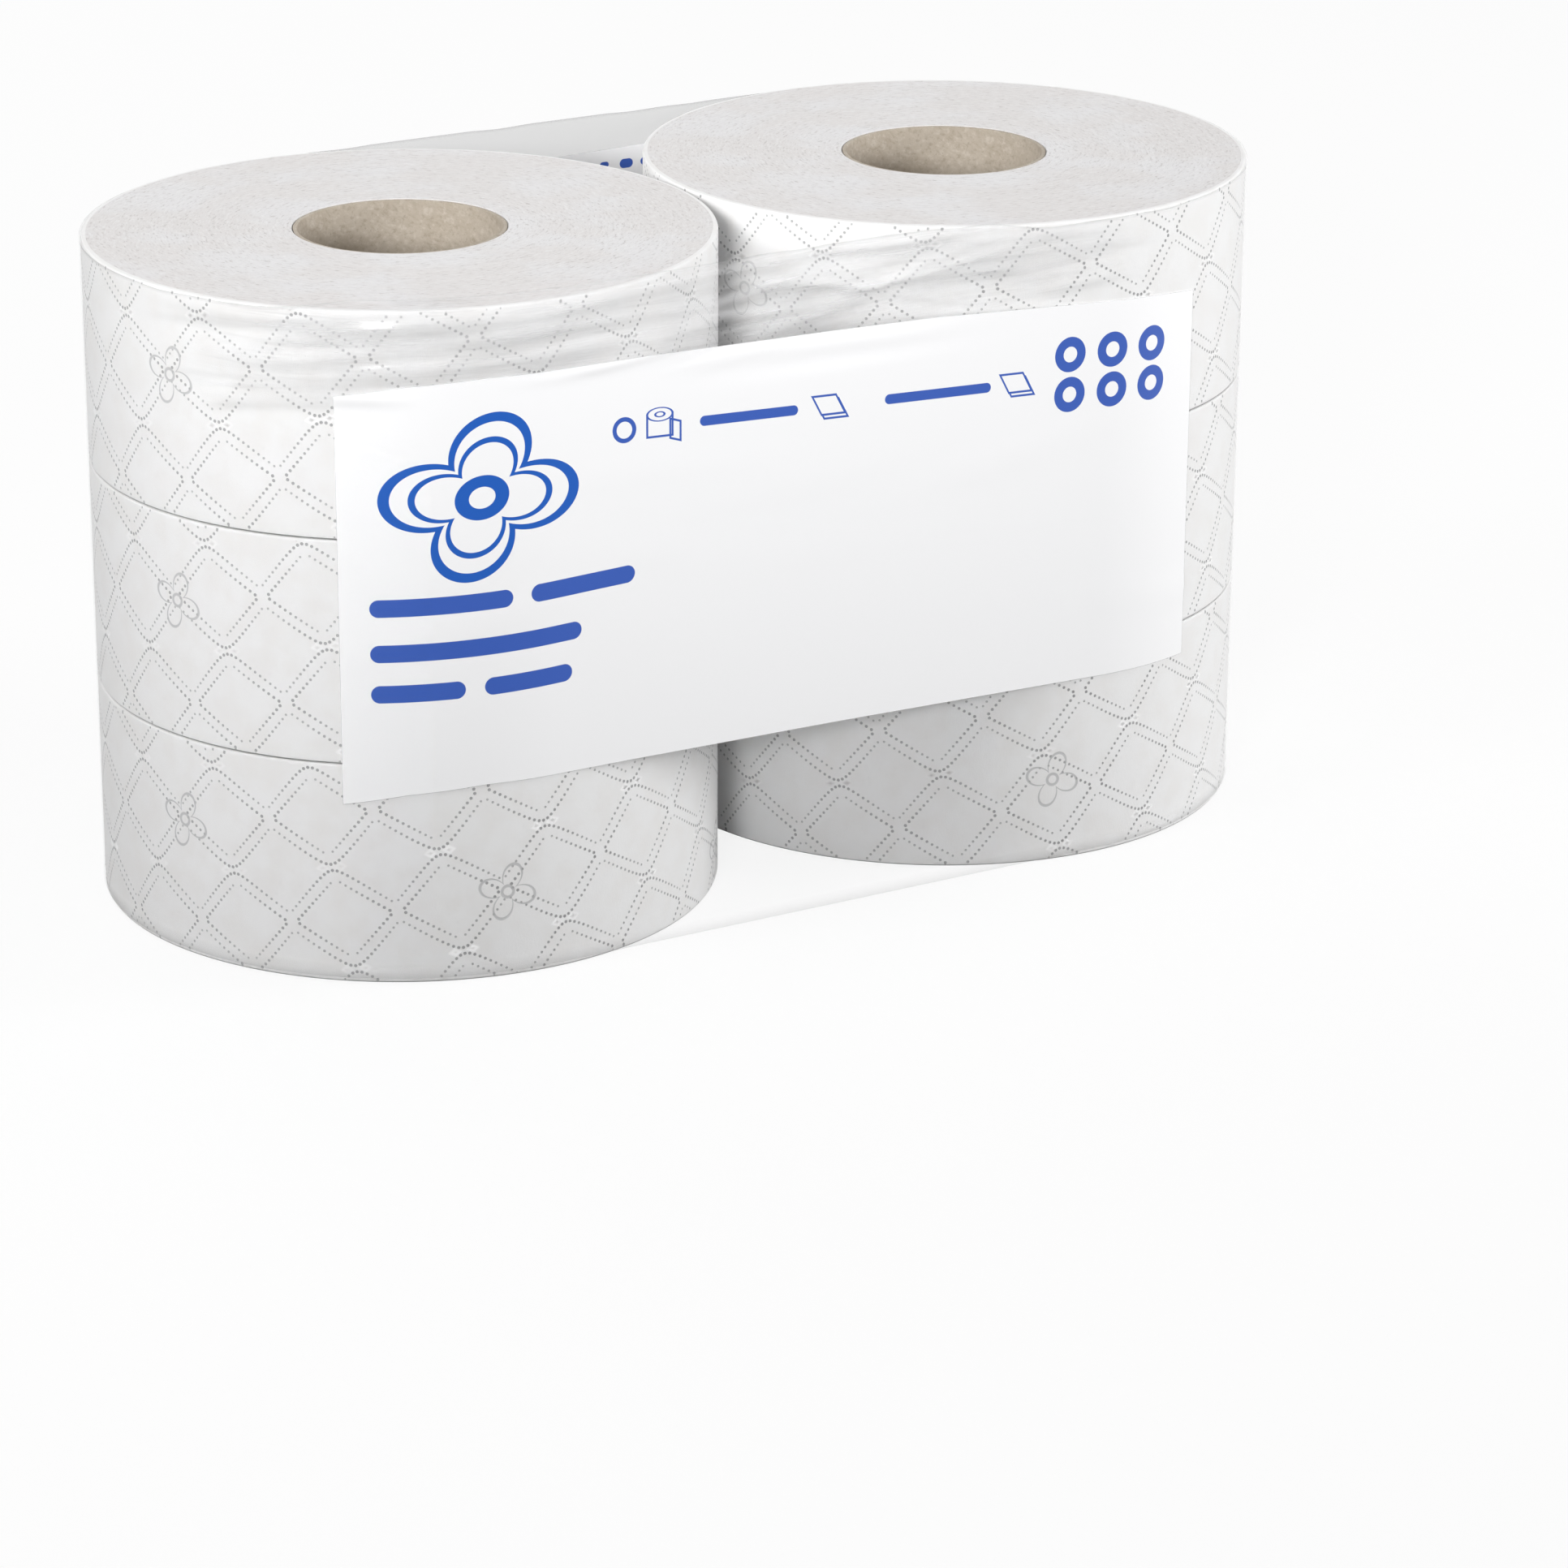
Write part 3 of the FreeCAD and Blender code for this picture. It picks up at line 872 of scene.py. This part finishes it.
def modelFilm():
    perimeter = film["perimeter"]
    fineFrom, fineTo = film["fineSpan"]
    fine = np.arange(fineFrom, fineTo, film["fineStep"])
    coarse = np.linspace(fineTo, perimeter + fineFrom, film["coarseColumns"])
    around = np.concatenate([fine, coarse[:-1]])
    below = np.linspace(0, film["closeRowsFrom"], film["rowsBelow"])
    above = np.linspace(film["closeRowsFrom"], 0.995, film["rowsAbove"])
    rising = np.concatenate([below, above[1:], [1.0]])
    columns, rows = len(around), len(rising)
    s = np.repeat(around, rows)
    s = np.where(s > perimeter / 2, s - perimeter, s)
    t = np.tile(rising, columns)
    x, y = filmPlace(s, 0)
    front = y < 0
    head = hemLine(x, front)
    ripple = 0.35 * np.sin(s / 13.0) + 0.25 * np.sin(s / 5.1 + 1)
    head = head + np.minimum(ripple, 0) * 0.8
    z = film["foot"] + (head - film["foot"]) * t

    # gathers over the valley: pleats that lean in and fade towards both stacks
    middle = (np.abs(s) < film["gatherHalfWidth"]) & front
    fade = np.where(middle, np.cos(np.pi / 2 * np.clip(s / film["gatherHalfWidth"], -1, 1)) ** 2, 0)
    share = np.clip((z - film["gatherFoot"]) / (head - film["gatherFoot"]), 0, 1)
    fan = share + 0.06 * np.sin(s / 21.0) * share
    pleat = 0.5 - 0.5 * np.cos(2 * np.pi * film["gatherPleats"] * fan)
    inward = fade * (film["gatherDepth"] * pleat * share + film["gatherLean"] * share ** 2)
    outward, milk, grey = creaseFields(s, z)
    # painted shade in the folds of the pleats
    grey += 0.5 * fade * pleat * share
    x, y = filmPlace(s, outward)
    y = np.where(middle, y + inward, y)

    places = np.stack([x, y, z], -1) * mm
    faces = []
    for i in range(columns):
        n = (i + 1) % columns
        for j in range(rows - 1):
            faces.append((i * rows + j, n * rows + j, n * rows + j + 1, i * rows + j + 1))
    thing = addMesh("film_sleeve", places, faces)
    mesh = thing.data
    # painted highlights and painted shade of the creases, kept on the points
    addPointValues(mesh, "milk", np.clip(milk, 0, 1))
    addPointValues(mesh, "greyFold", np.clip(grey, 0, 1))
    addPointValues(mesh, "hem", np.where((t > 0.999) | (t < 0.001), 1.0, 0.0))

    # two maps: where a point lies on the flat sheet, and a layout with the two halves stacked
    sheet = mesh.uv_layers.new(name="sheet")
    layout = mesh.uv_layers.new(name="OFBake")
    sheetValues = np.zeros((len(faces) * 4, 2), dtype=np.float32)
    layoutValues = np.zeros((len(faces) * 4, 2), dtype=np.float32)
    flatS = np.repeat(around, rows)
    index = np.array(faces)
    cornerS = flatS[index]
    wrap = (index[:, 1:3] // rows == 0) & (index[:, :1] // rows == columns - 1)
    cornerS[:, 1:3] = np.where(wrap, cornerS[:, 1:3] + perimeter, cornerS[:, 1:3])
    cornerZ = z[index]
    low = around[0]
    split = low + perimeter / 2
    upper = (cornerS.mean(1) > split)[:, None]
    layoutU = (cornerS - low - np.where(upper, perimeter / 2, 0)) / (perimeter / 2)
    layoutV = 0.01 + cornerZ / film["layoutHigh"] * 0.45 + np.where(upper, 0.48, 0)
    sheetS = np.where(cornerS.mean(1)[:, None] > perimeter / 2, cornerS - perimeter, cornerS)
    sheetValues[:, 0], sheetValues[:, 1] = (sheetS * mm).ravel(), (cornerZ * mm).ravel()
    layoutValues[:, 0], layoutValues[:, 1] = np.clip(layoutU, 0.001, 0.999).ravel(), layoutV.ravel()
    sheet.data.foreach_set("uv", sheetValues.ravel())
    layout.data.foreach_set("uv", layoutValues.ravel())

    makeActive(thing)
    solid = thing.modifiers.new("wall", "SOLIDIFY")
    solid.thickness = film["thickness"] * mm
    solid.offset = -1
    bpy.ops.object.modifier_apply(modifier="wall")
    thing.data.shade_smooth()
    return thing


# the printed panel, in mm round the flat sheet and up it
panel = {
    "white": toLinear(252, 252, 253),
    "emblemBlue": toLinear(0, 87, 184),
    "textBlue": toLinear(47, 88, 180),
    "left": -197.0, "right": 162.5,
    "top": [
        (-197, 222.4), (-171, 225.8), (-143, 227.6), (-79, 227.6), (-47, 226.8), (15, 225.4),
        (43, 224.9), (75, 223.1), (107, 221.4), (140, 219.6), (163, 217.4),
    ],
    "bottom": [(-197, 69.4), (-174, 73.2), (-145, 75.8), (-88, 75.8), (0, 75.0), (163, 72.0)],
    "backLift": 11.7,               # the panel repeats behind, a little higher
}


def curveThrough(finish, value, points, low, high, bottom, top):
    # a profile line as a ramp of greys, read back in mm
    stops = [((p - low) / (high - low), (q - bottom) / (top - bottom)) for p, q in points]
    share = (value - low) / (high - low)
    node = finish.node("ValToRGB", {"stops": stops}, {"Fac": share})
    return node * (top - bottom) + bottom


def capsule(finish, u, v, u0, u1, v0, half):
    # distance inside a bar with round ends, positive inside
    centre, reach = (u0 + u1) / 2, (u1 - u0) / 2 - half
    dx = finish.larger(abs(u - centre) - reach, 0.0)
    dy = v - v0
    return half - (dx * dx + dy * dy) ** 0.5


def ringShape(finish, u, v, u0, v0, radius, line):
    du, dv = u - u0, v - v0
    return line - abs((du * du + dv * dv) ** 0.5 - radius)


def sheetPair(finish, u, v, u0, v0):
    # two thin leaning sheets, one on the other
    dv = v - v0
    du = u - u0 + dv * 0.55
    upper = finish.larger(abs(du) - 5.0, abs(dv) - 3.6)
    lower = finish.larger(abs(du - 0.3) - 5.0, abs(dv + 1.5) - 3.6)
    return finish.larger(0.42 - abs(upper), finish.smaller(0.42 - abs(lower), upper))


def rollMark(finish, u, v, u0, v0):
    # a small upright roll: its end as a flat ring, its sides, and the loose end of its sheet
    du, dv = u - u0, v - v0
    reach = (du * du + dv * dv * 4.4) ** 0.5
    rings = finish.larger(0.45 - abs(reach - 5.2), 0.45 - abs(reach - 1.9))
    side = finish.larger(abs(du) - 5.2, -8.2 - dv)
    sides = finish.smaller(0.42 - abs(side), 0 - dv)
    sheet = finish.larger(abs(du - 6.4) - 2.1, abs(dv + du * 0.3 + 4.4) - 3.6)
    return finish.larger(rings, sides, finish.smaller(0.42 - abs(sheet), reach - 5.2))


def filmFinish():
    finish = newFinish("clearFilm")
    place = finish.node("UVMap", {"uv_map": "sheet"})
    u, v = [part * 1000 for part in finish.split(place)[:2]]

    # the white panel in front and again half way round, and the print on both
    wayRound = u + (u < -300.0) * film["perimeter"]
    onBack = wayRound > 300.0
    pu = wayRound - onBack * (film["perimeter"] / 2)
    pv = v - onBack * panel["backLift"]
    top = curveThrough(finish, pu, panel["top"], -200, 165, 60, 230)
    bottom = curveThrough(finish, pu, panel["bottom"], -200, 165, 60, 230)
    inside = finish.smaller(pu - panel["left"], panel["right"] - pu, top - pv, pv - bottom)
    white = finish.ramp(inside, -0.15, 0.15)

    slope = pv - (pu + 186) * 0.034
    bars = finish.larger(
        capsule(finish, pu, slope, -186, -134, 143.9, 3.3),
        capsule(finish, pu, slope, -127, -85, 143.9, 3.3),
        capsule(finish, pu, slope, -186, -107, 126.9, 3.3),
        capsule(finish, pu, slope, -186, -152, 111.6, 3.3),
        capsule(finish, pu, slope, -145, -111, 111.6, 3.3),
    )
    countLine = pv + (pu + 93) * 0.042
    counts = finish.larger(
        ringShape(finish, pu, countLine, -89, 201.6, 4.0, 0.85),
        capsule(finish, pu, countLine, -58, -17, 201.6, 1.9),
        capsule(finish, pu, countLine, 20, 66, 201.6, 1.9),
        sheetPair(finish, pu, countLine, -4, 202.2),
        sheetPair(finish, pu, countLine, 77, 202.2),
        rollMark(finish, pu, countLine, -74.5, 206.0),
    )
    rings = []
    for column in range(3):
        for row in range(2):
            risen = 202.6 - row * 15.5 - column * 0.6
            rings.append(ringShape(finish, pu, pv, 101 + column * 19, risen, 4.9, 1.9))
    sixRings = finish.larger(*rings)
    # a short row of marks under the upper edge of the panel behind
    edgeMarks = finish.larger(
        capsule(finish, u, v, 553.5, 557.5, 231.5, 1.6),
        capsule(finish, u, v, 561.0, 567.0, 231.5, 1.9),
        capsule(finish, u, v, 572.0, 576.0, 232.0, 1.2),
    )
    textInk = finish.ramp(finish.larger(bars, counts, sixRings, edgeMarks), -0.12, 0.12)

    # emblem: a flower of four petals drawn as a double line
    eu, ev = pu + 145.0, pv - 184.0
    turned = eu * 0.96 + ev * 0.27
    upright = ev * 0.96 - eu * 0.27
    reach = (turned * turned + (upright * 1.25) * (upright * 1.25)) ** 0.5
    turn = finish.calc("ARCTAN2", upright * 1.25, turned)
    bloom = abs(finish.calc("COSINE", turn * 2.0 + 0.785)) * 17.0 + 19.0
    outline = 2.1 - abs(reach - bloom)
    innerLine = 1.3 - abs(reach - bloom * 0.72)
    heart = 2.6 - abs(reach - 7.5)
    emblem = finish.ramp(finish.larger(outline, innerLine, heart), -0.12, 0.12)

    printShade = finish.mixColour(textInk, panel["white"], panel["textBlue"])
    printShade = finish.mixColour(emblem, printShade, panel["emblemBlue"])
    inputs = {"Base Color": printShade, "Roughness": 0.36, "IOR": 1.5}
    printed = finish.node("BsdfPrincipled", None, inputs)

    # clear film: creases with painted highlights on their ridges and painted shade below them, painted
    # shade in the pleats over the front valley, white and grey painted streaks in the upper band, a hazier
    # grey span over the valley behind, a faint edge
    milk = finish.value("milk")
    greyFold = finish.value("greyFold")
    hem = finish.value("hem")
    streak = finish.noise(finish.vector(u * 0.022, v * 0.42, 0.0), 1.0, 4.0, 0.6, 0.4)
    upperBand = finish.ramp(v, 214.0, 236.0)
    upperBand = upperBand * finish.ramp(u, -262.0, -215.0) * finish.ramp(u, 135.0, 80.0)
    behind = finish.ramp(abs(u), 470.0, 500.0)
    facing = finish.node("LayerWeight", None, {"Blend": 0.2}, 1)
    # painted highlights on the crease ridges and light streaks of the upper band
    paintedGlintShare = milk * 0.20 + finish.ramp(streak, 0.52, 0.74) * 0.12 * upperBand
    # painted shade below the creases, in the pleats and in dark streaks, with the grey haze of the span
    # behind
    paintedShadeAndBackHaze = greyFold * 0.09 + finish.ramp(streak, 0.46, 0.28) * 0.06 * upperBand + behind * 0.24
    haze = paintedGlintShare + paintedShadeAndBackHaze + hem * 0.12 + 0.012
    alpha = haze + (facing ** 2.0) * 0.16
    greyShare = paintedShadeAndBackHaze / (paintedGlintShare + paintedShadeAndBackHaze + 0.004)
    shade = finish.mixColour(greyShare, panel["white"], film["shadeAndHazeGrey"])
    shade = finish.mixColour(hem * 0.4, shade, film["hemGrey"])
    bump = finish.relief(streak * upperBand, 0.25, 0.0006)
    inputs = {"Base Color": shade, "Roughness": 0.16, "Alpha": alpha, "Normal": bump, "IOR": 1.5}
    clear = finish.node("BsdfPrincipled", None, inputs)
    return finish.close(finish.node("MixShader", None, {0: white, 1: clear, 2: printed}))


# stage, lamps and camera
studio = {
    "worldLight": 0.40,
    "floorSize": 14.0,
    "cameraPlace": (-0.99909, -1.77270, 0.77327),
    "cameraYaw": 0.5333,
    "cameraPitch": -0.3580,
    "cameraRoll": 0.0057,
    "lens": 126.664,
    "lamps": [
        # name, place, height that it aims at, size, spread, power
        ("leftLamp", (-2.11, -0.19, 1.46), 0.13, 1.2, 180, 20.4),
        ("rightLamp", (2.22, -1.03, 0.65), 0.13, 1.2, 180, 42.0),
        ("upperFrontLamp", (-1.41, -1.68, 0.84), 0.55, 0.5, 40, 2.3),
        ("backLamp", (0.0, 2.20, 1.51), 0.13, 1.8, 180, 13.3),
    ],
}


def floorFinish():
    finish = newFinish("studioFloor")
    seen = finish.seenPlainly()
    shade = finish.mixColour(seen, (0.16, 0.16, 0.16), (0.97, 0.97, 0.97))
    inputs = {"Base Color": shade, "Roughness": 0.9, "Specular IOR Level": 0.0}
    paint = finish.node("BsdfPrincipled", None, inputs)
    glow = finish.node("Emission", None, {"Color": (1.0, 1.0, 1.0), "Strength": 1.0})
    return finish.close(finish.node("MixShader", None, {0: seen * 0.86, 1: paint, 2: glow}))


def backdrop():
    # even and pale all round for what is lit, plain white for what is looked at
    finish = Finish(bpy.data.worlds.new("studioWorld"))
    white = (1.0, 1.0, 1.0)
    soft = finish.node("Background", None, {"Color": white, "Strength": studio["worldLight"]})
    plain = finish.node("Background", None, {"Color": white, "Strength": 1.0})
    seen = finish.seenPlainly()
    return finish.close(finish.node("MixShader", None, {0: seen, 1: soft, 2: plain}), "World")


def buildStage():
    deselectAll()
    bpy.ops.mesh.primitive_plane_add(size=studio["floorSize"], location=(0, 0, 0))
    floor = bpy.context.object
    floor.name = "studio_floor"
    floor.data.materials.append(floorFinish())
    bpy.context.scene.world = backdrop()

    for name, place, aimHeight, size, spread, power in studio["lamps"]:
        deselectAll()
        bpy.ops.object.light_add(type="AREA", location=place)
        lamp = bpy.context.object
        lamp.name = name
        lamp.data.shape = "DISK"
        lamp.data.size = size
        lamp.data.spread = math.radians(spread)
        lamp.data.energy = power
        aim = Vector((0, 0, aimHeight)) - lamp.location
        lamp.rotation_euler = aim.to_track_quat("-Z", "Y").to_euler()

    deselectAll()
    bpy.ops.object.camera_add()
    camera = bpy.context.object
    camera.name = "photoCamera"
    camera.data.sensor_width = 36
    camera.data.lens = studio["lens"]
    camera.data.clip_end = 50
    camera.matrix_world = (
        Matrix.Translation(studio["cameraPlace"])
        @ Matrix.Rotation(-studio["cameraYaw"], 4, "Z")
        @ Matrix.Rotation(math.pi / 2 + studio["cameraPitch"], 4, "X")
        @ Matrix.Rotation(studio["cameraRoll"], 4, "Z")
    )
    scene = bpy.context.scene
    scene.camera = camera
    scene.view_settings.view_transform = "Standard"


buildStage()
print("stage, lamps and camera set")

paper = tissueFinish()
model = modelRoll()
print("roll modelled:", len(model.data.polygons), "faces")
for stackName in ("left", "right"):
    for level, levelName in enumerate(("bottom", "middle", "top")):
        piece = placeRoll(model, stackName, level, levelName)
        piece.data.materials.append(paper)
        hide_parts(f"winding_{stackName}_{levelName}")
        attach(piece, "root")
bpy.data.objects.remove(model)
print("six rolls placed")

cardboard = boardFinish()
for stackName, side in (("left", -1), ("right", 1)):
    for level, levelName in enumerate(("bottom", "middle", "top")):
        startTurn = core["turns"][stackName][level]
        piece = modelCore(f"board_{stackName}_{levelName}", side, level, startTurn)
        piece.data.materials.append(cardboard)
        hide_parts(f"core_{stackName}_{levelName}")
        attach(piece, "root")
print("six cores placed")

sleeve = modelFilm()
sleeve.data.materials.append(filmFinish())
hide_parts("film_wrap")
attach(sleeve, "root")
print("film fitted:", len(sleeve.data.polygons), "faces")
